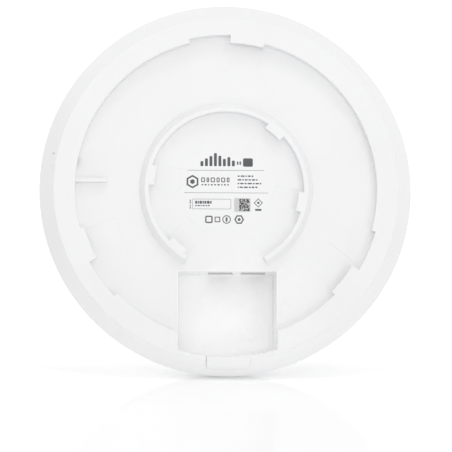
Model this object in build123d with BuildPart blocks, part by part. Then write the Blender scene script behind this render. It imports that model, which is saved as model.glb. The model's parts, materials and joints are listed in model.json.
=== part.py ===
from build123d import *
import os
from math import atan2, cos, degrees, radians, sin, tan

# Round access point for a ceiling or wall. Millimetres. The rim of the back case lies in the
# plane Y = 0 and is centred on the origin. The back faces -Y, the domed front faces +Y, +Z is
# up and the cable bay is at the bottom. A "depth" is a distance from the rim plane along +Y.
# Angles are measured from +X towards +Z, as the back is seen by someone facing it.

# Overall form
case_r = 110.0
overall_depth = 48.1
wall = 2.0
cover_wall = 2.2
widest_depth = 11.0
seam_gap = 0.2

# Back case: rim, flank and bracket recess
rim_r = 101.4
rim_fillet = 2.2
shoulder_depth = 9.9
shoulder_r = 2.6
recess_r = 88.8
floor_depth = 5.0
recess_wall = 1.8
recess_fillet = 0.9

# Outer bayonet: a tab and, next to it, the notch where the bracket's lug drops in
outer_turns = (0, 120, 240)
tab_r = 86.4
tab_start = 75.5
tab_end = 88.5
tab_thickness = 1.8
notch_r = 91.2
notch_end = 104.0
pocket_margin = 1.6

# Flat pads left on the floor by the slides that mould the undercut tabs
pad_depth = 0.06
outer_pad = (20.5, 21.5)
outer_pad_r = 77.5
outer_pad_angle = 83.5
outer_pad_skew = -3.5
inner_pad = (17.0, 14.3)
inner_pad_r = 36.1

# Inner ring with its four tabs
ring_inner_r = 45.6
ring_outer_r = 48.2
ring_crest_depth = 0.5
ring_crest_fillet = 0.4
ring_shoulder_r = 1.4
skirt_run = 3.0
skirt_foot_r = 8.0
skirt_reach = 8.0
ring_gap = (240.5, 298.5)
inner_tab_angles = (50, 170, 230, 350)
inner_tab_half_angle = 7.5
inner_tab_r = 42.5
inner_tab_thickness = 1.5

# Bracket lock: guide rib, slot in the recess wall, release pin hole and its raised dot
rib_length = 18.0
rib_width = 2.2
rib_height = 3.0
rib_z = 4.8
lock_slot_z = (12.8, 18.0)
lock_slot_depth = 1.6
lock_slot_top = 1.4
pin_angle = 168.7
pin_hole_r = 0.8
pin_hole_depth = 2.6
pin_boss = (6.0, 5.0)
dot_angle = 172.0
dot_r = 103.8
dot_size = 0.7

# Cable bay
bay_left = -28.3
bay_right = 29.8
bay_top = -48.4
bay_outer_r = 98.9
bay_floor_depth = 25.0
bay_wall = 1.4
top_wall = 1.8
bay_draft = 2.0

# Cable door in the rim and flank
door_left = -12.0
door_right = 14.0
door_height = 5.4
door_corner = 2.0
door_gap = 0.14
door_offset = 0.07
door_frame = 2.0

# Tongue of the front cover inside the case
tongue_inner_r = 104.0
tongue_outer_r = 105.6
tongue_depth = 9.4

# Main board
board_r = 84.0
board_back = 9.0
board_thickness = 1.6
board_front = board_back + board_thickness
board_gap = 0.7

# Sockets
jack_centres = {"main": -3.0, "second": 16.5}
jack_size = (16.0, 13.4, 21.0)
jack_skin = 0.3
jack_mouth_z = bay_top + top_wall + 0.2
plug_hole = (11.8, 8.4, 13.0)
latch_hole = (6.2, 1.8)
jack_inset = 0.4
jack_window = (14.2, 12.0)
jack_window_centre = 17.2
contact_count = 8
contact_pitch = 1.02

# Reset button and its switch
button_x = -19.4
button_depth = board_front + 2.5
button_face = (8.4, 4.4)
button_window = (8.8, 4.8)
button_flange = (10.4, 4.8)
flange_thickness = 1.0
button_inset = 0.1
button_travel = 0.5
stem = 2.6
stem_length = 1.6
plunger_r = 0.9
plunger_length = 2.0
plunger_out = 0.8
plunger_gap = 0.05
switch_size = (6.0, 4.6, 3.6)

# Heat sink, which is also the ground plane of the antennas
sink_r = 83.0
sink_back = 14.6
sink_thickness = 3.2
sink_front = sink_back + sink_thickness
sink_rib_height = 3.4
sink_window = (-52.0, 28.0, -9.0)
fin_ring_r = 53.0
fin_width = 1.6
fin_length = 60.0
fin_count = 7
fin_start = -4.0
fin_pitch = 6.0
screw_angles = (22, 90, 158, 215, 325)
screw_circle = 78.0
screw_r = 1.5
screw_clearance = 0.05
screw_length = 15.0
screw_head_r = 2.8
screw_head_height = 1.6
post_r = 3.6

# Shield cans (x, z, width, height) and what they cover
shields = {
    "processor": (0.0, 14.0, 44.0, 36.0),
    "low_band": (-46.0, 10.0, 36.0, 40.0),
    "high_band": (46.0, 10.0, 36.0, 40.0),
}
shield_height = 3.0
shield_skin = 0.3
pad_inset = 6.0
power_spot = (-40.5, -24.0)
capacitor_spots = ((-37.0, -40.0), (-46.5, -38.0))

# Antennas: (angles, plate width, plate depth) for each band
low_band_angles = (35, 145, 200, 340)
low_band_plate = (24.0, 31.0)
high_band_angles = (8, 70, 110, 172)
high_band_plate = (13.0, 27.0)
feed_circle = 72.0
plate_length = 10.0
sheet = 0.5
strip = 3.0
feed_depth = 20.0
lead_r = 0.6
lead_hole_r = 1.6
socket_r = 1.3
socket_height = 1.2

# Status light
light_circle = 40.5
light_width = 3.2
light_groove_depth = 45.0
light_gap = 0.1
light_legs = 8
leg_r = 1.5
leg_end = 40.4
light_board_depth = 38.0
light_board_thickness = 1.2
light_board_radii = (34.0, 47.0)
light_post_angles = (30, 150, 270)
light_post_circle = 44.0
light_screw_r = 1.0
light_screw_depth = 3.6
ribbon = (8.0, 0.4)
ribbon_z = 45.0

# Sticker in the print inside the ring
sticker = (9.6, 8.0, 0.1)
sticker_centre = (9.5, -9.3)

os.makedirs("parts", exist_ok=True)


def depth_plane(depth):
    """Plane parallel to the rim, read from behind: +X right, +Z up, extrude(-n) goes forward."""
    return Plane.XZ.offset(-depth)


def sector(inner, outer, start, end):
    """Flat piece of a ring between two radii and two angles."""
    with BuildSketch(mode=Mode.PRIVATE) as piece:
        with BuildLine():
            near = CenterArc((0, 0), inner, start, end - start)
            far = CenterArc((0, 0), outer, start, end - start)
            Line(near @ 0, far @ 0)
            Line(near @ 1, far @ 1)
        make_face()
    return piece.sketch_local


def bay_outline(left, right, top, outer):
    """Outline of the cable bay: three straight sides and an arc along the case's edge."""
    with BuildSketch(mode=Mode.PRIVATE) as outline:
        Circle(outer)
        with Locations(((left + right) / 2, top - outer / 2)):
            Rectangle(right - left, outer, mode=Mode.INTERSECT)
    return outline.sketch_local


def finish(built, name):
    """Label a finished piece and write it to its own file."""
    built.part.label = name
    export_step(built.part, f"parts/{name}.step")


# ---------------------------------------------------------------- outer envelopes

with BuildPart() as case_envelope:
    with BuildSketch(Plane.XY) as case_profile:
        with BuildLine():
            Polyline(
                (0, floor_depth),
                (ring_inner_r, floor_depth),
                (ring_inner_r, ring_crest_depth),
                (ring_outer_r, ring_crest_depth),
                (ring_outer_r + skirt_run, floor_depth),
                (recess_r, floor_depth),
                (recess_r, 0),
                (rim_r, 0),
                (case_r, shoulder_depth),
                (case_r, widest_depth),
                (0, widest_depth),
                close=True,
            )
        make_face()
        corners = case_profile.vertices()
        fillet(corners.sort_by_distance((ring_inner_r, ring_crest_depth))[0], ring_crest_fillet)
        fillet(corners.sort_by_distance((ring_outer_r, ring_crest_depth))[0], ring_shoulder_r)
        foot = corners.sort_by_distance((ring_outer_r + skirt_run, floor_depth))[0]
        fillet(foot, skirt_foot_r)
        fillet(corners.sort_by_distance((recess_r, 0))[0], recess_fillet)
        fillet(corners.sort_by_distance((rim_r, 0))[0], rim_fillet)
        fillet(corners.sort_by_distance((case_r, shoulder_depth))[0], shoulder_r)
    revolve(axis=Axis.Y)

dome_corner_r = 30.0
dome_height = overall_depth - widest_depth
dome_crown_r = ((case_r - dome_corner_r) ** 2 + dome_height**2 - dome_corner_r**2) / (
    2 * (dome_height - dome_corner_r)
)


def dome_face(inset, base):
    """Half section of the dome, inset from its outer skin, closed on the axis."""
    corner_centre = (case_r - dome_corner_r, widest_depth)
    crown_centre = (0, overall_depth - dome_crown_r)
    turn = degrees(atan2(widest_depth - crown_centre[1], corner_centre[0]))
    with BuildSketch(Plane.XY, mode=Mode.PRIVATE) as face:
        with BuildLine():
            side = Line((case_r - inset, base), (case_r - inset, widest_depth))
            CenterArc(corner_centre, dome_corner_r - inset, 0, turn)
            crown = CenterArc(crown_centre, dome_crown_r - inset, turn, 90 - turn)
            Line(crown @ 1, (0, base))
            Line((0, base), side @ 0)
        make_face()
    return face.sketch_local


with BuildPart() as dome_envelope:
    with BuildSketch(Plane.XY):
        add(dome_face(0, widest_depth - 1))
    revolve(axis=Axis.Y)

with BuildPart() as dome_hollow:
    with BuildSketch(Plane.XY):
        add(dome_face(cover_wall, widest_depth - 1))
    revolve(axis=Axis.Y)

# ---------------------------------------------------------------- back case

door_middle = (door_left + door_right) / 2
door_width = door_right - door_left

with BuildPart() as door_surround:
    # Solid corner between the bay's outer wall and the flank, for the door to sit in.
    with BuildSketch(Plane.XZ):
        with Locations((door_middle, -(bay_outer_r + case_r) / 2)):
            Rectangle(door_width + 2 * door_frame, case_r - bay_outer_r + 6)
        Circle(bay_outer_r, mode=Mode.SUBTRACT)
    extrude(amount=-(door_height + door_frame))
    add(case_envelope.part, mode=Mode.INTERSECT)

with BuildPart() as pin_surround:
    # Block under the rim that carries the release pin hole from the flank to the lock slot.
    with BuildSketch(Plane.XZ):
        add(sector(recess_r, case_r, pin_angle - pin_boss[0] / 3.4, pin_angle + pin_boss[0] / 3.4))
    extrude(amount=-pin_boss[1])
    add(case_envelope.part, mode=Mode.INTERSECT)

with BuildPart() as back_case:
    add(case_envelope.part)
    # Hollow inside: below the floor, behind the recess wall and along the flank.
    with BuildSketch(Plane.XY):
        with BuildLine():
            Polyline(
                (0, floor_depth + wall),
                (recess_r + recess_wall, floor_depth + wall),
                (recess_r + recess_wall, wall),
                (rim_r - wall / 2, wall),
                (case_r - wall, shoulder_depth + wall / 2),
                (case_r - wall, widest_depth),
                (0, widest_depth),
                close=True,
            )
        make_face()
    revolve(axis=Axis.Y, mode=Mode.SUBTRACT)
    add(door_surround.part)
    add(pin_surround.part)
    # Thicker wall behind each bayonet pocket.
    for turn in outer_turns:
        with BuildSketch(Plane.XZ):
            start = tab_start + turn - pocket_margin
            end = notch_end + turn + pocket_margin
            add(sector(recess_r, notch_r + recess_wall, start, end))
        extrude(amount=-(floor_depth + wall))
        with BuildSketch(Plane.XZ):
            add(sector(tab_r - 20, recess_r, start, end))
        extrude(amount=-floor_depth, mode=Mode.SUBTRACT)
    # Walls and floor of the cable bay, before it is hollowed out.
    with BuildSketch(depth_plane(floor_depth)):
        left = bay_left - bay_wall
        right = bay_right + bay_wall
        add(bay_outline(left, right, bay_top + top_wall, bay_outer_r + bay_wall))
    extrude(amount=-(bay_floor_depth + bay_wall - floor_depth))
    with BuildSketch(Plane.XZ):
        add(bay_outline(left, right, bay_top + top_wall, bay_outer_r + bay_wall))
        Circle(recess_r, mode=Mode.SUBTRACT)
    extrude(amount=-floor_depth)
    # Opening in the inner ring above the bay.
    with BuildSketch(Plane.XZ):
        add(sector(ring_inner_r - 1, ring_outer_r + skirt_reach, *ring_gap))
    extrude(amount=-floor_depth, mode=Mode.SUBTRACT)
    # Bayonet pockets: undercut below the tab, open at the notch.
    for turn in outer_turns:
        with BuildSketch(depth_plane(tab_thickness)):
            add(sector(recess_r - 1, notch_r, tab_start + turn, notch_end + turn))
        extrude(amount=-(floor_depth - tab_thickness), mode=Mode.SUBTRACT)
        with BuildSketch(Plane.XZ):
            add(sector(recess_r - 1, notch_r, tab_end + turn, notch_end + turn))
        extrude(amount=-floor_depth, mode=Mode.SUBTRACT)
        with BuildSketch(Plane.XZ):
            add(sector(tab_r, notch_r, tab_start + turn, tab_end + turn))
        extrude(amount=-tab_thickness)
        with BuildSketch(depth_plane(floor_depth)):
            with PolarLocations(outer_pad_r, 1, start_angle=outer_pad_angle + turn):
                with Locations(Rotation(0, 0, outer_pad_skew)):
                    Rectangle(*outer_pad)
        extrude(amount=-pad_depth, mode=Mode.SUBTRACT)
    # Inner tabs, level with the crest of the ring.
    for angle in inner_tab_angles:
        with BuildSketch(depth_plane(floor_depth)):
            with PolarLocations(inner_pad_r, 1, start_angle=angle):
                Rectangle(*inner_pad)
        extrude(amount=-pad_depth, mode=Mode.SUBTRACT)
        with BuildSketch(depth_plane(ring_crest_depth)):
            start = angle - inner_tab_half_angle
            end = angle + inner_tab_half_angle
            add(sector(inner_tab_r, ring_inner_r + ring_crest_fillet, start, end))
        extrude(amount=-inner_tab_thickness)
    # Guide rib for the bracket's lock, with a rounded end.
    with BuildSketch(depth_plane(floor_depth)):
        with Locations((-recess_r + rib_length / 2, rib_z)):
            SlotOverall(rib_length + 2, rib_width)
    extrude(amount=rib_height)
    # Lock slot in the recess wall.
    with BuildSketch(depth_plane(lock_slot_top)):
        with Locations((-recess_r, sum(lock_slot_z) / 2)):
            Rectangle(2 * lock_slot_depth + 2, lock_slot_z[1] - lock_slot_z[0])
    extrude(amount=-(floor_depth - lock_slot_top), mode=Mode.SUBTRACT)
    # Release pin hole through the flank into the lock slot.
    pin_frame = Plane(depth_plane(pin_hole_depth).origin, x_dir=(0, 1, 0), z_dir=(1, 0, 0))
    pin_frame = pin_frame.rotated((0, -pin_angle, 0))
    with BuildSketch(pin_frame.offset(recess_r - 3)):
        Circle(pin_hole_r)
    extrude(amount=case_r - recess_r + 3, mode=Mode.SUBTRACT)
    # Raised dot on the flank beside the hole.
    dot_depth = shoulder_depth * (dot_r - rim_r) / (case_r - rim_r)
    dot_turn = radians(dot_angle)
    with Locations((dot_r * cos(dot_turn), dot_depth, dot_r * sin(dot_turn))):
        Sphere(dot_size)
    # Cable bay, open to the back, narrowing with depth.
    with BuildSketch(Plane.XZ):
        add(bay_outline(bay_left, bay_right, bay_top, bay_outer_r))
    extrude(amount=-bay_floor_depth, taper=bay_draft, mode=Mode.SUBTRACT)
    # Windows in the bay's top wall for the two sockets and the reset button.
    with BuildSketch(Plane.XY.offset(bay_top - 1.5)):
        for centre in jack_centres.values():
            with Locations((centre, jack_window_centre)):
                Rectangle(*jack_window)
        with Locations((button_x, button_depth)):
            Rectangle(*button_window)
    extrude(amount=top_wall + 2.5, mode=Mode.SUBTRACT)
    # Notch for the cable door.
    with BuildSketch(Plane.XY.offset(-case_r - 1)) as notch:
        with Locations((door_middle, door_height / 2 - 1)):
            Rectangle(door_width, door_height + 2)
        fillet(notch.vertices().group_by(Axis.Y)[-1], door_corner)
    extrude(amount=case_r - bay_outer_r + 3, mode=Mode.SUBTRACT)
finish(back_case, "back_case")

with BuildPart() as cable_door:
    # Plug of the notch: follows the flank outside and the bay's outer wall inside.
    with BuildSketch(Plane.XY.offset(-case_r - 1)) as door_face:
        with Locations((door_middle + door_offset, (door_height - door_gap) / 2)):
            Rectangle(door_width - 2 * door_gap, door_height - door_gap)
        fillet(door_face.vertices().group_by(Axis.Y)[-1], door_corner)
    extrude(amount=case_r - bay_outer_r + 3)
    add(case_envelope.part, mode=Mode.INTERSECT)
    with BuildSketch(Plane.XZ.offset(1)):
        Circle(bay_outer_r)
    extrude(amount=-(door_height + 2), mode=Mode.SUBTRACT)
finish(cable_door, "cable_door")

# ---------------------------------------------------------------- front cover and light ring


def around(radius, angles):
    """Places on a circle at the given angles, each turned to face outwards."""
    return [Rot(0, 0, angle) * Pos(radius, 0, 0) for angle in angles]


leg_angles = [(n + 0.5) * 360 / light_legs for n in range(light_legs)]
light_board_front = light_board_depth + light_board_thickness

with BuildPart() as dome_shell:
    add(dome_envelope.part)
    add(dome_hollow.part, mode=Mode.SUBTRACT)
    with BuildSketch(depth_plane(widest_depth + seam_gap)):
        Circle(case_r + 1)
    extrude(amount=5, mode=Mode.SUBTRACT)

with BuildPart() as front_cover:
    # Posts for the chassis screws and for the light board, trimmed to the inside of the dome.
    with BuildSketch(depth_plane(sink_front)):
        with Locations(*around(screw_circle, screw_angles)):
            Circle(post_r)
    extrude(amount=-(overall_depth - sink_front))
    with BuildSketch(depth_plane(light_board_front)):
        with Locations(*around(light_post_circle, light_post_angles)):
            Circle(light_screw_r + 1.4)
    extrude(amount=-(overall_depth - light_board_front))
    add(dome_hollow.part, mode=Mode.INTERSECT)
    add(dome_shell.part)
    # Tongue that locates the cover inside the back case.
    with BuildSketch(Plane.XY):
        with BuildLine():
            Polyline(
                (tongue_inner_r, tongue_depth),
                (tongue_outer_r, tongue_depth),
                (tongue_outer_r, widest_depth + seam_gap),
                (case_r - cover_wall + 0.5, widest_depth + seam_gap),
                (case_r - cover_wall + 0.5, widest_depth + 3),
                (tongue_inner_r, widest_depth + 3),
                close=True,
            )
        make_face()
    revolve(axis=Axis.Y)
    # Holes in the posts.
    with BuildSketch(depth_plane(sink_front)):
        with Locations(*around(screw_circle, screw_angles)):
            Circle(screw_r + screw_clearance)
    extrude(amount=-screw_length, mode=Mode.SUBTRACT)
    with BuildSketch(depth_plane(light_board_front)):
        with Locations(*around(light_post_circle, light_post_angles)):
            Circle(light_screw_r + screw_clearance)
    extrude(amount=-light_screw_depth, mode=Mode.SUBTRACT)
    # Groove for the light ring, and a hole below it for each of its legs.
    with BuildSketch(depth_plane(light_groove_depth)):
        Circle(light_circle + light_width / 2 + light_gap)
        Circle(light_circle - light_width / 2 - light_gap, mode=Mode.SUBTRACT)
    extrude(amount=-5, mode=Mode.SUBTRACT)
    with BuildSketch(depth_plane(light_board_front)):
        with Locations(*around(light_circle, leg_angles)):
            Circle(leg_r + light_gap)
    extrude(amount=-(light_groove_depth - light_board_front), mode=Mode.SUBTRACT)
finish(front_cover, "front_cover")

with BuildPart() as light_ring:
    # Clear ring flush with the dome, with a leg above each light.
    with BuildSketch(depth_plane(light_groove_depth)):
        Circle(light_circle + light_width / 2)
        Circle(light_circle - light_width / 2, mode=Mode.SUBTRACT)
    extrude(amount=-5)
    with BuildSketch(depth_plane(leg_end)):
        with Locations(*around(light_circle, leg_angles)):
            Circle(leg_r)
    extrude(amount=-(light_groove_depth - leg_end))
    add(dome_envelope.part, mode=Mode.INTERSECT)
finish(light_ring, "light_ring")

with BuildPart() as light_board:
    with BuildSketch(depth_plane(light_board_depth)):
        Circle(light_board_radii[1])
        Circle(light_board_radii[0], mode=Mode.SUBTRACT)
        with Locations(*around(light_post_circle, light_post_angles)):
            Circle(light_screw_r + screw_clearance, mode=Mode.SUBTRACT)
    extrude(amount=-light_board_thickness)
finish(light_board, "light_board")

with BuildPart() as status_lights:
    with BuildSketch(depth_plane(light_board_front)):
        with Locations(*around(light_circle, leg_angles)):
            Rectangle(2.0, 2.8)
    extrude(amount=-0.8)
finish(status_lights, "status_lights")

with BuildPart() as light_board_screws:
    with BuildSketch(depth_plane(light_board_depth)):
        with Locations(*around(light_post_circle, light_post_angles)):
            Circle(2 * light_screw_r)
    extrude(amount=light_screw_r)
    with BuildSketch(depth_plane(light_board_depth)):
        with Locations(*around(light_post_circle, light_post_angles)):
            Circle(light_screw_r)
    extrude(amount=-(light_board_thickness + light_screw_depth - 0.5))
    with BuildSketch(depth_plane(light_board_depth - light_screw_r)):
        with Locations(*around(light_post_circle, light_post_angles)):
            RectangleRounded(2.2, 0.5, 0.2)
            RectangleRounded(0.5, 2.2, 0.2)
    extrude(amount=-0.6, mode=Mode.SUBTRACT)
finish(light_board_screws, "light_board_screws")

# ---------------------------------------------------------------- main board and its parts

with BuildPart() as main_board:
    with BuildSketch(depth_plane(board_back)):
        Circle(board_r)
        left = bay_left - bay_wall - board_gap
        right = bay_right + bay_wall + board_gap
        top = bay_top + top_wall + board_gap
        with Locations(((left + right) / 2, top - board_r / 2)):
            Rectangle(right - left, board_r, mode=Mode.SUBTRACT)
        with Locations(*around(screw_circle, screw_angles)):
            Circle(screw_r + screw_clearance, mode=Mode.SUBTRACT)
    extrude(amount=-board_thickness)
finish(main_board, "main_board")

for label, (x, z, width, height) in shields.items():
    with BuildPart() as shield:
        with BuildSketch(depth_plane(board_front)):
            with Locations((x, z)):
                RectangleRounded(width, height, 1.0)
        extrude(amount=-shield_height)
        with BuildSketch(depth_plane(board_front)):
            with Locations((x, z)):
                Rectangle(width - 2 * shield_skin, height - 2 * shield_skin)
        extrude(amount=-(shield_height - shield_skin), mode=Mode.SUBTRACT)
    finish(shield, f"{label}_shield")

with BuildPart() as thermal_pads:
    with BuildSketch(depth_plane(board_front + shield_height)):
        for x, z, width, height in shields.values():
            with Locations((x, z)):
                Rectangle(width - 2 * pad_inset, height - 2 * pad_inset)
    extrude(amount=-(sink_back - board_front - shield_height))
finish(thermal_pads, "thermal_pads")

with BuildPart() as processor:
    x, z, width, height = shields["processor"]
    with BuildSketch(depth_plane(board_front)):
        with Locations((x - 8, z)):
            Rectangle(19, 19)
    extrude(amount=-0.6)
    with BuildSketch(depth_plane(board_front + 0.6)):
        with Locations((x - 8, z)):
            Rectangle(15, 15)
    extrude(amount=-0.8)
finish(processor, "processor")

with BuildPart() as memory_chips:
    with BuildSketch(depth_plane(board_front)):
        with Locations((x + 12, z + 8), (x + 12, z - 8)):
            Rectangle(9, 11)
    extrude(amount=-1.1)
finish(memory_chips, "memory_chips")

with BuildPart() as radio_chips:
    with BuildSketch(depth_plane(board_front)):
        for band in ("low_band", "high_band"):
            x, z, width, height = shields[band]
            with Locations((x, z)):
                Rectangle(12, 12)
            with Locations(*[Pos(x + dx, z + 14) for dx in (-12, -4, 4, 12)]):
                Rectangle(4, 4)
    extrude(amount=-0.9)
finish(radio_chips, "radio_chips")

with BuildPart() as ethernet_transformers:
    with BuildSketch(depth_plane(board_front)):
        for centre in jack_centres.values():
            with Locations((centre, jack_mouth_z + jack_size[2] + 9)):
                Rectangle(15, 11)
    extrude(amount=-5.6)
    chamfer(ethernet_transformers.edges().group_by(Axis.Y)[-1], 0.4)
finish(ethernet_transformers, "ethernet_transformers")

with BuildPart() as power_transformer:
    # Ferrite block with its winding showing at the waist.
    with BuildSketch(depth_plane(board_front)):
        with Locations(power_spot):
            RectangleRounded(15, 13, 1.0)
    extrude(amount=-9)
    with BuildSketch(depth_plane(board_front + 2.2)):
        with Locations(power_spot):
            Rectangle(16, 14)
            Rectangle(12.5, 14, mode=Mode.SUBTRACT)
    extrude(amount=-4.6, mode=Mode.SUBTRACT)
finish(power_transformer, "power_transformer")

with BuildPart() as power_capacitors:
    with BuildSketch(depth_plane(board_front)):
        with Locations(*capacitor_spots):
            Circle(4.0)
    extrude(amount=-10)
    fillet(power_capacitors.edges().group_by(Axis.Y)[-1], 0.6)
finish(power_capacitors, "power_capacitors")

# ---------------------------------------------------------------- sockets

jack_middle = board_front + jack_size[1] / 2

for label, centre in jack_centres.items():
    with BuildPart() as jack_shield:
        # Pressed can, open to the bay, with the plastic insert inside it.
        with BuildSketch(Plane.XY.offset(jack_mouth_z)):
            with Locations((centre, jack_middle)):
                Rectangle(jack_size[0], jack_size[1])
        extrude(amount=jack_size[2])
        with BuildSketch(Plane.XY.offset(jack_mouth_z)):
            with Locations((centre, jack_middle)):
                Rectangle(jack_size[0] - 2 * jack_skin, jack_size[1] - 2 * jack_skin)
        extrude(amount=jack_size[2] - jack_skin, mode=Mode.SUBTRACT)
    finish(jack_shield, f"{label}_jack_shield")

    with BuildPart() as jack_insert:
        with BuildSketch(Plane.XY.offset(jack_mouth_z + jack_inset)):
            with Locations((centre, jack_middle)):
                Rectangle(jack_size[0] - 2 * jack_skin, jack_size[1] - 2 * jack_skin)
        extrude(amount=jack_size[2] - jack_skin - jack_inset)
        with BuildSketch(Plane.XY.offset(jack_mouth_z + jack_inset)):
            with Locations((centre, jack_window_centre)):
                Rectangle(plug_hole[0], plug_hole[1])
            with Locations((centre, jack_window_centre + (plug_hole[1] + latch_hole[1]) / 2)):
                Rectangle(*latch_hole)
        extrude(amount=plug_hole[2], mode=Mode.SUBTRACT)
    finish(jack_insert, f"{label}_jack_insert")

with BuildPart() as jack_contacts:
    # Spring contacts, angled up from the floor of each socket.
    contact_floor = jack_window_centre - plug_hole[1] / 2
    for centre in jack_centres.values():
        for n in range(contact_count):
            x = centre + (n - (contact_count - 1) / 2) * contact_pitch
            with BuildSketch(Plane.YZ.offset(x - 0.2)):
                with BuildLine():
                    Polyline(
                        (contact_floor, jack_mouth_z + 3.0),
                        (contact_floor + 0.4, jack_mouth_z + 3.0),
                        (contact_floor + 2.0, jack_mouth_z + 10.5),
                        (contact_floor + 1.6, jack_mouth_z + 10.5),
                        close=True,
                    )
                make_face()
            extrude(amount=0.4)
finish(jack_contacts, "jack_contacts")

# ---------------------------------------------------------------- reset button and switch

flange_z = bay_top + top_wall + 0.1
stem_top = flange_z + flange_thickness + stem_length
switch_z = stem_top + plunger_out

# The bay's top wall leans with the draft, so its face is a little lower at the button.
button_z = bay_top - button_depth * tan(radians(bay_draft)) + button_inset

with BuildPart() as reset_button:
    with BuildSketch(Plane.XY.offset(button_z)):
        with Locations((button_x, button_depth)):
            RectangleRounded(*button_face, 0.5)
    extrude(amount=flange_z - button_z)
    fillet(reset_button.edges().group_by(Axis.Z)[0], 0.3)
    with BuildSketch(Plane.XY.offset(flange_z)):
        with Locations((button_x, button_depth)):
            Rectangle(*button_flange)
    extrude(amount=flange_thickness)
    with BuildSketch(Plane.XY.offset(flange_z + flange_thickness)):
        with Locations((button_x, button_depth)):
            Rectangle(stem, stem)
    extrude(amount=stem_length)
finish(reset_button, "reset_button")

with BuildPart() as switch_plunger:
    with BuildSketch(Plane.XY.offset(stem_top)):
        with Locations((button_x, button_depth)):
            Circle(plunger_r)
    extrude(amount=plunger_length)
finish(switch_plunger, "switch_plunger")

with BuildPart() as reset_switch:
    with BuildSketch(Plane.XY.offset(switch_z)):
        with Locations((button_x, board_front + switch_size[1] / 2)):
            Rectangle(switch_size[0], switch_size[1])
    extrude(amount=switch_size[2])
    with BuildSketch(Plane.XY.offset(switch_z)):
        with Locations((button_x, button_depth)):
            Circle(plunger_r + plunger_gap)
    extrude(amount=plunger_length - plunger_out + button_travel + 0.3, mode=Mode.SUBTRACT)
finish(reset_switch, "reset_switch")

# ---------------------------------------------------------------- heat sink and its screws

window_left, window_right, window_top = sink_window

with BuildPart() as heat_sink:
    # Cast plate, cut away over the sockets and the power section.
    with BuildSketch(depth_plane(sink_back)):
        Circle(sink_r)
        with Locations(((window_left + window_right) / 2, window_top - sink_r / 2)):
            Rectangle(window_right - window_left, sink_r, mode=Mode.SUBTRACT)
        with Locations((bay_right, bay_top + top_wall + board_gap - sink_r / 2)):
            Rectangle(2 * (bay_wall + board_gap), sink_r, mode=Mode.SUBTRACT)
    extrude(amount=-sink_thickness)
    # Raised rim and cooling fins.
    with BuildSketch(depth_plane(sink_front)):
        add(sector(fin_ring_r, fin_ring_r + fin_width, 12, 168))
        for n in range(fin_count):
            with Locations((0, fin_start + n * fin_pitch)):
                Rectangle(fin_length, fin_width)
    extrude(amount=-sink_rib_height)
    # Posts that stand on the main board.
    with BuildSketch(depth_plane(board_front)):
        with Locations(*around(screw_circle, screw_angles)):
            Circle(post_r)
    extrude(amount=-(sink_back - board_front))
    # Holes for the screws, the antenna leads and the light board's ribbon.
    with BuildSketch(depth_plane(board_front)):
        with Locations(*around(screw_circle, screw_angles)):
            Circle(screw_r + screw_clearance)
        with Locations(*around(feed_circle, low_band_angles + high_band_angles)):
            Circle(lead_hole_r)
        with Locations((0, ribbon_z)):
            RectangleRounded(ribbon[0] + 2, ribbon[1] + 2, 1.0)
    extrude(amount=-(sink_front + sink_rib_height - board_front), mode=Mode.SUBTRACT)
finish(heat_sink, "heat_sink")

with BuildPart() as chassis_screws:
    with BuildSketch(depth_plane(board_back)):
        with Locations(*around(screw_circle, screw_angles)):
            Circle(screw_head_r)
    extrude(amount=screw_head_height)
    fillet(chassis_screws.edges().group_by(Axis.Y)[0], 0.5)
    with BuildSketch(depth_plane(board_back)):
        with Locations(*around(screw_circle, screw_angles)):
            Circle(screw_r)
    extrude(amount=-screw_length)
    with BuildSketch(depth_plane(board_back - screw_head_height)):
        with Locations(*around(screw_circle, screw_angles)):
            Rectangle(3.2, 0.8)
            Rectangle(0.8, 3.2)
    extrude(amount=-0.9, mode=Mode.SUBTRACT)
finish(chassis_screws, "chassis_screws")

# ---------------------------------------------------------------- antennas

bands = {
    "low_band": (low_band_angles, *low_band_plate),
    "high_band": (high_band_angles, *high_band_plate),
}

for label, (angles, width, plate_depth) in bands.items():
    inner_r = feed_circle - plate_length
    with BuildPart() as antennas:
        # Plate, grounded leg at the inner end and feed leg at the outer end.
        with BuildSketch(depth_plane(plate_depth)):
            with Locations(*around(feed_circle - plate_length / 2, angles)):
                Rectangle(plate_length, width)
        extrude(amount=-sheet)
        with BuildSketch(depth_plane(sink_front)):
            with Locations(*around(inner_r + sheet / 2, angles)):
                Rectangle(sheet, strip)
        extrude(amount=-(plate_depth - sink_front))
        with BuildSketch(depth_plane(sink_front)):
            with Locations(*around(inner_r - strip / 2, angles)):
                Rectangle(strip + sheet, strip)
        extrude(amount=-sheet)
        with BuildSketch(depth_plane(feed_depth)):
            with Locations(*around(feed_circle - sheet / 2, angles)):
                Rectangle(sheet, strip)
        extrude(amount=-(plate_depth - feed_depth))
    finish(antennas, f"{label}_antennas")

with BuildPart() as antenna_posts:
    # Plastic pillars under the middle of each plate.
    for angles, width, plate_depth in bands.values():
        with BuildSketch(depth_plane(sink_front)):
            with Locations(*around(feed_circle - plate_length / 2, angles)):
                Circle(2.5)
        extrude(amount=-(plate_depth - sink_front))
finish(antenna_posts, "antenna_posts")

with BuildPart() as antenna_sockets:
    with BuildSketch(depth_plane(board_front)):
        with Locations(*around(feed_circle - sheet / 2, low_band_angles + high_band_angles)):
            Circle(socket_r)
    extrude(amount=-socket_height)
finish(antenna_sockets, "antenna_sockets")

with BuildPart() as antenna_leads:
    with BuildSketch(depth_plane(board_front + socket_height)):
        with Locations(*around(feed_circle - sheet / 2, low_band_angles + high_band_angles)):
            Circle(lead_r)
    extrude(amount=-(feed_depth - board_front - socket_height))
finish(antenna_leads, "antenna_leads")

# ---------------------------------------------------------------- light ribbon and sticker

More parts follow.
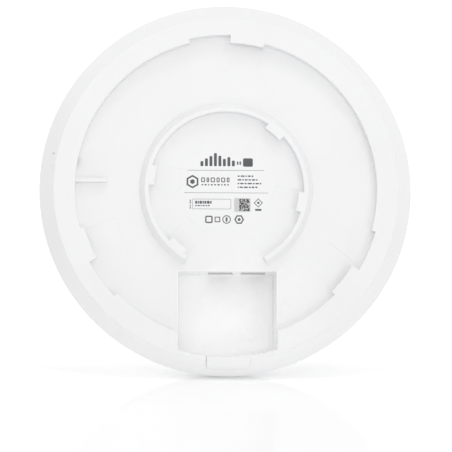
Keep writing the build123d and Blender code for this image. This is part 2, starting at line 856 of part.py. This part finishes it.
with BuildPart() as light_socket:
    with BuildSketch(depth_plane(board_front)):
        with Locations((0, ribbon_z)):
            Rectangle(ribbon[0] + 2.4, 4.0)
    extrude(amount=-2.0)
finish(light_socket, "light_socket")

with BuildPart() as light_ribbon:
    with BuildSketch(depth_plane(board_front + 2.0)):
        with Locations((0, ribbon_z)):
            Rectangle(*ribbon)
    extrude(amount=-(light_board_depth - board_front - 2.0))
finish(light_ribbon, "light_ribbon")

with BuildPart() as code_sticker:
    with BuildSketch(depth_plane(floor_depth)):
        with Locations(sticker_centre):
            RectangleRounded(sticker[0], sticker[1], 0.6)
    extrude(amount=sticker[2])
finish(code_sticker, "code_sticker")
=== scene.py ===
import json
import math

import bmesh
import bpy
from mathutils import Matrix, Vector


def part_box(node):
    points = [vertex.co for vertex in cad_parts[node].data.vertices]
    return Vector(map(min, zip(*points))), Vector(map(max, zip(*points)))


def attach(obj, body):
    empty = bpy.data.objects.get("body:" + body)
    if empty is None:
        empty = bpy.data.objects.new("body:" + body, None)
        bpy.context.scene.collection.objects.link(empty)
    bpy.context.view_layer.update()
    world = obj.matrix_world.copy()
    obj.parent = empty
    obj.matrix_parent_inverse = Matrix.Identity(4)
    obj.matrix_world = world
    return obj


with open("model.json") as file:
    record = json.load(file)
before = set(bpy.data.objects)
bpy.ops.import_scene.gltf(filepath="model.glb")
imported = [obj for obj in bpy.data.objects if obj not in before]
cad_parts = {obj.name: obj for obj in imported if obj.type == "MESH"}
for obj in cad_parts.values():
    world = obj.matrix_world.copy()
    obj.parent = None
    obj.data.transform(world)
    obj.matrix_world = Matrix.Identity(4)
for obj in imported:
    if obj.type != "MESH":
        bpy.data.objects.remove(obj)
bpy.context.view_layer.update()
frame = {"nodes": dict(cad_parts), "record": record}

MM = 0.001
scene = bpy.context.scene
scene.view_settings.view_transform = "Standard"
# A white object on a white floor needs many bounces.
scene.cycles.diffuse_bounces = 10
scene.cycles.max_bounces = 16


# ------------------------------------------------------------------ node materials


class Look:
    """A node material on one Principled shader, with textures in the row frame's metres."""

    def __init__(self, name, **values):
        self.material = bpy.data.materials.new(name)
        self.material.use_nodes = True
        self.tree = self.material.node_tree
        self.shader = self.tree.nodes["Principled BSDF"]
        self.place = self.add("ShaderNodeTexCoord").outputs["Object"]
        for socket, value in values.items():
            self.shader.inputs[socket.replace("_", " ")].default_value = value

    def add(self, kind, **settings):
        node = self.tree.nodes.new(kind)
        for key, value in settings.items():
            setattr(node, key, value)
        return node

    def link(self, source, target):
        self.tree.links.new(source, target)

    def math(self, operation, a, b=0.0, c=0.0):
        node = self.add("ShaderNodeMath", operation=operation)
        for socket, value in zip(node.inputs, (a, b, c)):
            if isinstance(value, (int, float)):
                socket.default_value = value
            else:
                self.link(value, socket)
        return node.outputs[0]

    def axes(self):
        parts = self.add("ShaderNodeSeparateXYZ")
        self.link(self.place, parts.inputs[0])
        return parts.outputs["X"], parts.outputs["Y"], parts.outputs["Z"]

    def noise(self, size, stretch=(1, 1, 1), detail=3.0, rough=0.55):
        """Noise whose features are about size millimetres, stretched along the axes given."""
        mapping = self.add("ShaderNodeMapping")
        mapping.inputs["Scale"].default_value = [1 / s for s in stretch]
        self.link(self.place, mapping.inputs["Vector"])
        texture = self.add("ShaderNodeTexNoise")
        texture.inputs["Scale"].default_value = 1 / (size * MM)
        texture.inputs["Detail"].default_value = detail
        texture.inputs["Roughness"].default_value = rough
        self.link(mapping.outputs[0], texture.inputs["Vector"])
        return texture.outputs[0]

    def cells(self, size, feature="F1"):
        texture = self.add("ShaderNodeTexVoronoi", feature=feature)
        texture.inputs["Scale"].default_value = 1 / (size * MM)
        self.link(self.place, texture.inputs["Vector"])
        return texture.outputs["Distance"]

    def span(self, value, low, high, from_low=0.35, from_high=0.65):
        node = self.add("ShaderNodeMapRange")
        self.link(value, node.inputs["Value"])
        for socket, number in (
            ("From Min", from_low), ("From Max", from_high), ("To Min", low), ("To Max", high)
        ):
            node.inputs[socket].default_value = number
        return node.outputs[0]

    def mix(self, factor, a, b):
        """Colour between a and b, each an RGB triple or a socket."""
        node = self.add("ShaderNodeMix", data_type="RGBA")
        self.link(factor, node.inputs[0])
        for socket, value in ((node.inputs[6], a), (node.inputs[7], b)):
            if isinstance(value, tuple):
                socket.default_value = (*value, 1.0)
            else:
                self.link(value, socket)
        return node.outputs[2]

    def colour(self, source):
        self.link(source, self.shader.inputs["Base Color"])

    def roughness(self, size, low, high, **kw):
        self.link(self.span(self.noise(size, **kw), low, high), self.shader.inputs["Roughness"])

    def bumps(self, *heights, edge=0.0):
        """Stack bumps, each (height socket, millimetres deep, strength), over rounded edges."""
        normal = None
        if edge:
            bevel = self.add("ShaderNodeBevel", samples=4)
            bevel.inputs["Radius"].default_value = edge * MM
            normal = bevel.outputs[0]
        for height, depth, strength in heights:
            bump = self.add("ShaderNodeBump")
            bump.inputs["Distance"].default_value = depth * MM
            bump.inputs["Strength"].default_value = strength
            self.link(height, bump.inputs["Height"])
            if normal:
                self.link(normal, bump.inputs["Normal"])
            normal = bump.outputs[0]
        self.link(normal, self.shader.inputs["Normal"])


# The waves are this many times as wide as the grain.
WAVE_TO_GRAIN = 24
GRAIN_STRENGTH = 0.35
WAVE_STRENGTH = 0.10


def moulded(name, light, dark, rough, grain, depth, edge, **values):
    """Moulded plastic: fine grain over faint waves, soft colour shading, uneven sheen."""
    look = Look(name, **values)
    look.colour(look.mix(look.span(look.noise(38, detail=2.0), 0, 1), light, dark))
    look.roughness(6, *rough, detail=4.0)
    look.bumps(
        (look.noise(grain, detail=4.0, rough=0.65), depth, GRAIN_STRENGTH),
        (look.noise(grain * WAVE_TO_GRAIN, detail=1.0), depth, WAVE_STRENGTH),
        edge=edge,
    )
    return look


def metal(name, light, dark, rough, size, stretch, depth, edge=0.0, **values):
    """Sheet or cast metal: stretched scratches, mottled plating."""
    look = Look(name, Metallic=1.0, **values)
    scratches = look.noise(size, stretch=stretch, detail=5.0, rough=0.7)
    look.colour(look.mix(look.span(look.noise(7, detail=3.0), 0, 1), light, dark))
    look.link(look.span(scratches, *rough), look.shader.inputs["Roughness"])
    look.bumps((scratches, depth, 0.4), edge=edge)
    return look


TRACK_PITCH = 1.3 * MM
PAD_PITCH = 3.1  # millimetres, as cells() takes them
# Shares of a pitch.
TRACK_FROM = 0.36
PAD_RADIUS = 0.16


def circuit(name):
    """Solder mask over copper tracks, with tinned pads."""
    look = Look(name, Coat_Weight=0.25, Coat_Roughness=0.2)
    x, _, z = look.axes()
    along, across = [
        look.math("PINGPONG", look.math("MULTIPLY", v, 1 / TRACK_PITCH), 0.5) for v in (z, x)
    ]
    region = look.span(look.noise(24, detail=0.0), 0, 1, 0.49, 0.51)
    track = look.math(
        "GREATER_THAN",
        look.math("ADD",
                  look.math("MULTIPLY", along, region),
                  look.math("MULTIPLY", across, look.math("SUBTRACT", 1.0, region))),
        TRACK_FROM,
    )
    ground = look.span(look.noise(15, detail=0.0), 0, 1, 0.44, 0.46)
    copper = look.math("MAXIMUM", track, ground)
    pads = look.math("LESS_THAN", look.cells(PAD_PITCH), PAD_RADIUS)
    mask = look.mix(copper, (0.012, 0.050, 0.040), (0.020, 0.085, 0.064))
    look.colour(look.mix(pads, mask, (0.62, 0.62, 0.60)))
    look.link(pads, look.shader.inputs["Metallic"])
    look.roughness(2, 0.32, 0.44)
    look.bumps((copper, 0.03, 0.5), (look.noise(0.3), 0.01, 0.3))
    return look


HOLE_PITCH = 2.5 * MM
# Shares of the pitch.
HOLE_RADIUS = 0.2
HOLE_RIM = 0.04


def perforated(name):
    """Tinned shield can with small round holes in rows, painted near black as the shade seen through
    them.
    """
    look = Look(name, Metallic=1.0)
    x, _, z = look.axes()
    row = [look.math("SUBTRACT", look.math("FRACT", look.math("MULTIPLY", v, 1 / HOLE_PITCH)), 0.5)
           for v in (x, z)]
    away = look.math("SQRT", look.math("ADD", *[look.math("MULTIPLY", v, v) for v in row]))
    hole = look.math("LESS_THAN", away, HOLE_RADIUS)
    plate = look.mix(look.span(look.noise(5), 0, 1), (0.66, 0.66, 0.64), (0.76, 0.76, 0.74))
    # Painted shade: the holes are not cut but coloured near black, for the shade seen through them.
    look.colour(look.mix(hole, plate, (0.03, 0.03, 0.03)))
    look.roughness(0.5, 0.28, 0.42, stretch=(8, 1, 1))
    rim = look.span(away, 0, 1, HOLE_RADIUS - HOLE_RIM, HOLE_RADIUS + HOLE_RIM)
    look.bumps((rim, 0.2, 1.0), (look.noise(0.4), 0.01, 0.3))
    return look


def striped(name, light, dark, pitch, share):
    """Polyimide film over copper strips that run along Y."""
    look = Look(name, Coat_Weight=0.5, Coat_Roughness=0.15)
    x, _, _ = look.axes()
    strip = look.math("LESS_THAN", look.math("FRACT", look.math("MULTIPLY", x, 1 / (pitch * MM))), share)
    look.colour(look.mix(strip, light, dark))
    look.roughness(3, 0.25, 0.4)
    look.bumps((strip, 0.03, 0.5), (look.noise(0.5), 0.005, 0.3))
    return look


CODE_CELL = 0.42 * MM
CODE_LEFT = 3.0 * MM
CODE_RIGHT = 0.6 * MM
CODE_ENDS = 0.4 * MM
CODE_DARK_SHARE = 0.62


def code_print(name, lo, hi):
    """Paper sticker: a grey margin, then a square of random cells."""
    look = Look(name)
    x, _, z = look.axes()
    left = lo.x + CODE_LEFT
    cell = [look.math("FLOOR", look.math("DIVIDE", look.math("SUBTRACT", v, start), CODE_CELL))
            for v, start in ((x, left), (z, lo.z))]
    joined = look.add("ShaderNodeCombineXYZ")
    look.link(cell[0], joined.inputs[0])
    look.link(cell[1], joined.inputs[1])
    chance = look.add("ShaderNodeTexWhiteNoise", noise_dimensions="2D")
    look.link(joined.outputs[0], chance.inputs["Vector"])
    dark = look.math("LESS_THAN", chance.outputs["Value"], CODE_DARK_SHARE)
    inside = look.math("MULTIPLY", look.math("GREATER_THAN", x, left),
                       look.math("LESS_THAN", x, hi.x - CODE_RIGHT))
    inside = look.math("MULTIPLY", inside, look.math("GREATER_THAN", z, lo.z + CODE_ENDS))
    inside = look.math("MULTIPLY", inside, look.math("LESS_THAN", z, hi.z - CODE_ENDS))
    paper = look.mix(look.span(look.noise(0.6), 0, 1), (0.60, 0.60, 0.60), (0.68, 0.68, 0.68))
    look.colour(look.mix(look.math("MULTIPLY", dark, inside), paper, (0.045, 0.045, 0.05)))
    look.roughness(0.8, 0.5, 0.65)
    look.bumps((look.noise(0.12), 0.01, 0.3))
    return look


# Painted light: the cable bay's walls are painted nearly pure white to lift the shade in the bay.
# This painted light starts this deep in the case, and lies between these walls.
BAY_EDGE = 2.5 * MM
BAY_X = (-29.0 * MM, 30.5 * MM)
BAY_Z = (-100.0 * MM, -48.0 * MM)
BAY_PAINTED_LIGHT = (0.985, 0.985, 0.988)


def case_plastic_with_painted_bay_light(name):
    """The case's white, with painted light in the cable bay: its walls are painted nearly pure white to
    lift their shade.
    """
    look = moulded(name, (0.895, 0.896, 0.903), (0.882, 0.883, 0.891),
                   (0.36, 0.42), 0.22, 0.03, 0.30, IOR=1.50,
                   Coat_Weight=0.6, Coat_Roughness=0.16)
    x, y, z = look.axes()
    inside = look.span(y, 0, 1, BAY_EDGE, 4 * BAY_EDGE)
    for value, low, high in ((x, *BAY_X), (z, *BAY_Z)):
        inside = look.math("MULTIPLY", inside, look.math("GREATER_THAN", value, low))
        inside = look.math("MULTIPLY", inside, look.math("LESS_THAN", value, high))
    plain = look.shader.inputs["Base Color"].links[0].from_socket
    # Painted light: inside the bay the colour turns nearly pure white, standing in for light that lifts
    # the bay's shade.
    look.colour(look.mix(inside, plain, BAY_PAINTED_LIGHT))
    return look


looks = {
    "case_white": case_plastic_with_painted_bay_light("case_white"),
    "cover_white": moulded("cover_white", (0.885, 0.887, 0.895), (0.873, 0.875, 0.884),
                           (0.36, 0.44), 0.18, 0.035, 0.25, IOR=1.50),
    "light_guide": moulded("light_guide", (0.80, 0.85, 0.90), (0.785, 0.838, 0.89),
                           (0.22, 0.32), 0.4, 0.01, 0.15, IOR=1.49, Transmission_Weight=0.12),
    "board": circuit("board"),
    "chip": moulded("chip", (0.028, 0.028, 0.030), (0.040, 0.040, 0.042),
                    (0.5, 0.65), 0.12, 0.02, 0.1),
    "tin": perforated("tin"),
    "pad": moulded("pad", (0.30, 0.40, 0.52), (0.34, 0.44, 0.55), (0.75, 0.9), 0.6, 0.05, 0.2),
    "sink": metal("sink", (0.62, 0.63, 0.64), (0.52, 0.53, 0.54), (0.38, 0.58), 0.6,
                  (1, 1, 1), 0.06, edge=0.3),
    "jack_metal": metal("jack_metal", (0.68, 0.68, 0.66), (0.58, 0.58, 0.57), (0.2, 0.36),
                        0.25, (1, 12, 1), 0.01, edge=0.2),
    "jack_plastic": moulded("jack_plastic", (0.020, 0.020, 0.022), (0.030, 0.030, 0.032),
                            (0.4, 0.6), 0.2, 0.03, 0.15),
    "contact_gold": metal("contact_gold", (0.83, 0.62, 0.26), (0.74, 0.52, 0.20), (0.18, 0.3),
                          0.2, (1, 1, 8), 0.005),
    "antenna_metal": metal("antenna_metal", (0.70, 0.69, 0.66), (0.60, 0.59, 0.57),
                           (0.25, 0.42), 0.3, (10, 1, 1), 0.01),
    "natural_plastic": moulded("natural_plastic", (0.70, 0.68, 0.60), (0.66, 0.64, 0.56),
                               (0.4, 0.55), 0.3, 0.03, 0.15),
    "screw": metal("screw", (0.60, 0.61, 0.63), (0.50, 0.51, 0.54), (0.25, 0.4), 0.15,
                   (1, 6, 1), 0.01, edge=0.15),
    "lead": moulded("lead", (0.018, 0.018, 0.020), (0.028, 0.028, 0.030), (0.3, 0.45), 0.4,
                    0.02, 0.1),
    "ribbon": striped("ribbon", (0.50, 0.22, 0.04), (0.36, 0.13, 0.03), 0.5, 0.55),
    "emitter": moulded("emitter", (0.85, 0.72, 0.25), (0.78, 0.64, 0.20), (0.3, 0.45), 0.2,
                       0.02, 0.1),
    "ferrite": moulded("ferrite", (0.035, 0.034, 0.034), (0.060, 0.058, 0.056), (0.6, 0.8),
                       0.35, 0.08, 0.2),
    "can": metal("can", (0.42, 0.43, 0.46), (0.34, 0.35, 0.38), (0.3, 0.45), 0.4, (1, 1, 6),
                 0.01, edge=0.3),
    "sticker": code_print("sticker", *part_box("code_sticker")),
}
for part in frame["record"]["subparts"]:
    data = frame["nodes"][part["node"]].data
    data.materials.clear()
    data.materials.append(looks[part["material_slot"]].material)

# ------------------------------------------------------------------ print inside the ring

INK_PROUD = 0.02 * MM
INK_SUNK = 0.01 * MM
floor_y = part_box("code_sticker")[1].y
ink = bmesh.new()


def slab(outline, hole=None):
    """A thin closed slab of ink with this outline in (x, z) millimetres, and an optional hole."""
    near, far = floor_y - INK_PROUD, floor_y + INK_SUNK
    loops = []
    for points in filter(None, (outline, hole)):
        front = [ink.verts.new((x * MM, near, z * MM)) for x, z in points]
        back = [ink.verts.new((x * MM, far, z * MM)) for x, z in points]
        loops.append((front, back))
    if hole is None:
        ink.faces.new(loops[0][0])
        ink.faces.new(reversed(loops[0][1]))
    count = len(outline)
    for n in range(count):
        m = (n + 1) % count
        for front, back in loops:
            ink.faces.new((front[m], front[n], back[n], back[m]))
        if hole is not None:
            (outer_front, outer_back), (inner_front, inner_back) = loops
            ink.faces.new((outer_front[n], outer_front[m], inner_front[m], inner_front[n]))
            ink.faces.new((outer_back[m], outer_back[n], inner_back[n], inner_back[m]))


CORNER_STEPS = 4
# A little over 2, so that two corners never share a point.
CORNERS_PER_SIDE = 2.001


def rounded(x0, z0, x1, z1, radius):
    """Outline of a rectangle with rounded corners."""
    radius = min(radius, (x1 - x0) / CORNERS_PER_SIDE, (z1 - z0) / CORNERS_PER_SIDE)
    points = []
    for cx, cz, start in (
        (x1 - radius, z1 - radius, 0), (x0 + radius, z1 - radius, 90),
        (x0 + radius, z0 + radius, 180), (x1 - radius, z0 + radius, 270),
    ):
        for step in range(CORNER_STEPS + 1):
            angle = math.radians(start + step * 90 / CORNER_STEPS)
            points.append((cx + radius * math.cos(angle), cz + radius * math.sin(angle)))
    return points


def bar(x0, z0, x1, z1, radius=0.25):
    slab(rounded(x0, z0, x1, z1, radius))


def frame_box(x0, z0, x1, z1, line, radius=0.4):
    """The outline of a rounded rectangle, this wide a line."""
    slab(rounded(x0, z0, x1, z1, radius),
         rounded(x0 + line, z0 + line, x1 - line, z1 - line, max(radius - line, 0.05)))


def polygon(cx, cz, radius, sides, turn=0.0):
    """Outline of a regular polygon; many sides make a disc."""
    return [(cx + radius * math.cos(math.radians(turn + n * 360 / sides)),
             cz + radius * math.sin(math.radians(turn + n * 360 / sides))) for n in range(sides)]


def ring(cx, cz, radius, line, sides=40, turn=0.0):
    slab(polygon(cx, cz, radius, sides, turn), polygon(cx, cz, radius - line, sides, turn))


def dashes(x, z, height, widths, gap):
    """A row of short rounded bars, like a line of print too small to read."""
    for width in widths:
        bar(x, z, x + width, z + height, height * 0.3)
        x += width + gap


# The places and sizes of the print are in millimetres from the disc's centre.
METER_LEFT = -15.2
METER_FOOT = 13.6
METER_PITCH = 2.65
METER_BAR = 1.7
RULE_LINE = 0.2
BADGE_X, BADGE_Z = -19.9, 4.4
BLOCKS_LEFT = -14.8
BLOCKS_GAP = 0.9
SPEC_LEFT = 6.7
SPEC_TOP = 7.4
SPEC_PITCH = 2.2
TALLY_FOOT = -11.6
TALLY_PITCH = 1.5
DIAMOND_X, DIAMOND_Z = 18.9, -8.0
MARKS_Z = -17.9

# Head: a level meter, two dashes and a filled block.
for n, height in enumerate((3.0, 4.6, 6.0, 7.8, 6.2, 4.4, 5.4, 3.4)):
    place = METER_LEFT + n * METER_PITCH
    bar(place, METER_FOOT, place + METER_BAR, METER_FOOT + height, 0.5)
dashes(6.3, 14.4, 2.2, (0.9, 0.9), 0.6)
bar(9.9, 13.4, 15.7, 18.4, 0.8)
# Two rules.
for left, right, foot in ((-22.8, 22.5, 11.05), (-24.8, 24.8, -2.25)):
    bar(left, foot, right, foot + RULE_LINE, 0.08)
# Middle row: a filled hexagon in a hexagonal ring, outlined blocks over fine dashes, four fine rows.
ring(BADGE_X, BADGE_Z, 4.0, 1.1, 6, 30)
slab(polygon(BADGE_X, BADGE_Z, 1.5, 6, 30))
place = BLOCKS_LEFT
for width in (2.3, 1.5, 2.6, 1.8, 2.4, 1.6):
    frame_box(place, 4.1, place + width, 6.9, 0.55, 0.6)
    place += width + BLOCKS_GAP
dashes(-14.6, 2.2, 0.8, (0.9, 1.3, 0.7, 1.2, 1.0, 1.4, 0.8, 1.1, 0.9), 0.85)
for n, widths in enumerate((
    (1.2, 2.4, 0.8, 1.6, 1.1), (2.2, 1.0, 1.6, 1.4, 2.0, 0.9), (1.0, 2.0, 1.2, 2.6, 1.1, 1.9, 0.9),
    (0.7, 1.8, 2.4, 1.2, 1.6, 1.3),
)):
    dashes(SPEC_LEFT, SPEC_TOP - n * SPEC_PITCH, 0.8, widths, 0.55)
# Lower row: an upright line of dashes, an outlined box with two rows in it, a diamond over a bar.
frame_box(-20.0, -11.8, 2.8, -5.8, RULE_LINE)
dashes(-18.4, -8.7, 1.8, (1.3, 0.7, 1.5, 0.8, 1.2, 1.6, 0.9), 0.3)
dashes(-18.4, -10.1, 0.7, (1.0, 1.4, 0.8, 1.2, 0.9, 1.1), 0.45)
for n, height in enumerate((1.2, 0.8, 1.4, 0.9)):
    foot = TALLY_FOOT + n * TALLY_PITCH
    bar(-21.5, foot, -20.9, foot + height, 0.15)
ring(DIAMOND_X, DIAMOND_Z, 2.7, 0.6, 4)
slab(polygon(DIAMOND_X, DIAMOND_Z, 0.9, 4))
bar(17.0, -12.7, 20.8, -11.6, 0.3)
# Foot: a rounded box, a small square, a ring with a stroke in it and a hexagon with a dot.
frame_box(-12.4, MARKS_Z - 2.2, -8.0, MARKS_Z + 2.2, 0.8, 0.9)
ring(-5.2, MARKS_Z, 2.3, 0.8, 4, 45)
ring(0.2, MARKS_Z, 2.5, 0.55)
bar(-0.35, MARKS_Z - 1.3, 0.75, MARKS_Z + 1.3, 0.3)
ring(7.6, MARKS_Z, 2.9, 0.9, 6)
slab(polygon(7.6, MARKS_Z, 0.9, 24))

bmesh.ops.recalc_face_normals(ink, faces=ink.faces)
ink_mesh = bpy.data.meshes.new("label_print")
ink.to_mesh(ink_mesh)
ink.free()
label = bpy.data.objects.new("label_print", ink_mesh)
scene.collection.objects.link(label)
ink_look = moulded("ink", (0.085, 0.087, 0.092), (0.125, 0.127, 0.132), (0.45, 0.6), 0.15, 0.01, 0.0)
label.data.materials.append(ink_look.material)
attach(label, "access_point")

# ------------------------------------------------------------------ floor, light and camera

CONTACT_Y = 17.75 * MM
CONTACT_Z = -109.35 * MM
SLOPE = math.tan(math.radians(13.0))
CREST_RUN = 130 * MM
CREST_STEPS = 24
FLOOR_HALF_WIDTH = 6.0
FLOOR_GLOW = 0.092
SKY_SEEN = 1.15
SKY_LIGHT = 0.71


def floor_height(y):
    """A slope that rises from the camera's side to a low crest behind the disc, then runs level."""
    run = y - CONTACT_Y
    if run > 0:
        t = min(run / CREST_RUN, 1.0)
        return CONTACT_Z + SLOPE * CREST_RUN * (t - t * t / 2)
    return CONTACT_Z + SLOPE * run


# Places of the floor's rows along Y: close together on the crest, far apart before and behind.
rows = [-3.5, -2.0, -1.2, -0.7, -0.4, -0.25, -0.15, -0.09, -0.05, -0.02, 0.0]
rows += [CONTACT_Y + n * CREST_RUN / CREST_STEPS for n in range(CREST_STEPS + 1)]
rows += [0.2, 0.4, 1.0, 2.5, 6.0]
floor_mesh = bpy.data.meshes.new("floor")
floor_mesh.from_pydata(
    [(x, y, floor_height(y)) for y in rows for x in (-FLOOR_HALF_WIDTH, FLOOR_HALF_WIDTH)],
    [],
    [(2 * n, 2 * n + 1, 2 * n + 3, 2 * n + 2) for n in range(len(rows) - 1)],
)
for face in floor_mesh.polygons:
    face.use_smooth = True
floor = bpy.data.objects.new("floor", floor_mesh)
scene.collection.objects.link(floor)
paper = Look("paper", Specular_IOR_Level=0.1, Emission_Color=(1, 1, 1, 1), Emission_Strength=FLOOR_GLOW)
paper.colour(paper.mix(paper.span(paper.noise(60), 0, 1), (0.955, 0.955, 0.955), (0.965, 0.965, 0.965)))
paper.roughness(40, 0.07, 0.09)
floor.data.materials.append(paper.material)

world = bpy.data.worlds.new("studio")
world.use_nodes = True
scene.world = world
# White to the eye and in reflections; its diffuse light is weaker.
background = world.node_tree.nodes["Background"]
background.inputs["Color"].default_value = (1.0, 1.0, 1.0, 1.0)
ray = world.node_tree.nodes.new("ShaderNodeLightPath")
strength = world.node_tree.nodes.new("ShaderNodeMapRange")
strength.inputs["To Min"].default_value = SKY_SEEN
strength.inputs["To Max"].default_value = SKY_LIGHT
world.node_tree.links.new(ray.outputs["Is Diffuse Ray"], strength.inputs["Value"])
world.node_tree.links.new(strength.outputs[0], background.inputs["Strength"])


# The lower right lamp stands under the floor, which neither blocks it nor is lit by it.
open_floor = bpy.data.collections.new("open_floor")
open_floor.objects.link(floor)
open_floor.collection_objects[0].light_linking.link_state = "EXCLUDE"


OPEN_SPREAD = 180


def softbox(name, place, target, size, power, through_floor=False, spread=OPEN_SPREAD):
    """A rectangular lamp, aimed at the target; power is in watts and spread in degrees."""
    light = bpy.data.lights.new(name, "AREA")
    light.shape = "RECTANGLE"
    light.size, light.size_y = size
    light.energy = power
    light.spread = math.radians(spread)
    lamp = bpy.data.objects.new(name, light)
    lamp.location = place
    # A narrow lamp would leave a glare at its mirror angle, so it shows in no reflection.
    lamp.visible_glossy = spread == OPEN_SPREAD
    lamp.rotation_mode = "QUATERNION"
    lamp.rotation_quaternion = (Vector(target) - Vector(place)).to_track_quat("-Z", "Y")
    scene.collection.objects.link(lamp)
    if through_floor:
        lamp.light_linking.blocker_collection = open_floor
        lamp.light_linking.receiver_collection = open_floor


CENTRE = (0, 0, 0)
BAY_AIM = (0.012, 0.02, -0.075)
LIGHTS = (
    ("top", (0.1, -0.60, 1.35), CENTRE, (0.35, 0.22), 2.32),
    ("upper_right", (0.60, -0.95, 0.95), CENTRE, (0.45, 0.45), 1.15),
    ("upper_left", (-0.75, -1.05, 0.75), CENTRE, (0.7, 0.7), 0.3),
    ("upper_edge", (0.75, -0.35, 1.3), CENTRE, (0.35, 0.35), 0.55),
    ("right_edge", (1.5, -0.35, 0.0), CENTRE, (0.35, 0.35), 0.52),
    ("left_edge", (-1.3, -0.35, 0.75), CENTRE, (0.35, 0.35), 1.3),
    ("lower_right", (0.80, -1.21, -0.67), CENTRE, (0.35, 0.35), 1.72, True),
    ("front", (0.0, -1.6, 0.25), CENTRE, (0.6, 0.4), 0.85),
    ("dome_key", (-0.80, 0.95, 1.00), CENTRE, (0.5, 0.5), 1.6),
    ("bay", (0.10, -1.20, -0.20), BAY_AIM, (0.03, 0.03), 0.00080, False, 4.2),
)
for spec in LIGHTS:
    softbox(*spec)

SENSOR_WIDTH = 36.0
FOCAL_LENGTH = 170.8
CAMERA_PLACE = Vector((-0.064, -1.250, -0.133))
CAMERA_AIM = Vector((-0.0004, 0.0, -0.0222))
camera_data = bpy.data.cameras.new("camera")
camera_data.sensor_width = SENSOR_WIDTH
camera_data.lens = FOCAL_LENGTH
camera_data.clip_start, camera_data.clip_end = 0.05, 30.0
camera = bpy.data.objects.new("camera", camera_data)
camera.location = CAMERA_PLACE
camera.rotation_mode = "QUATERNION"
camera.rotation_quaternion = (CAMERA_AIM - CAMERA_PLACE).to_track_quat("-Z", "Y")
scene.collection.objects.link(camera)
scene.camera = camera
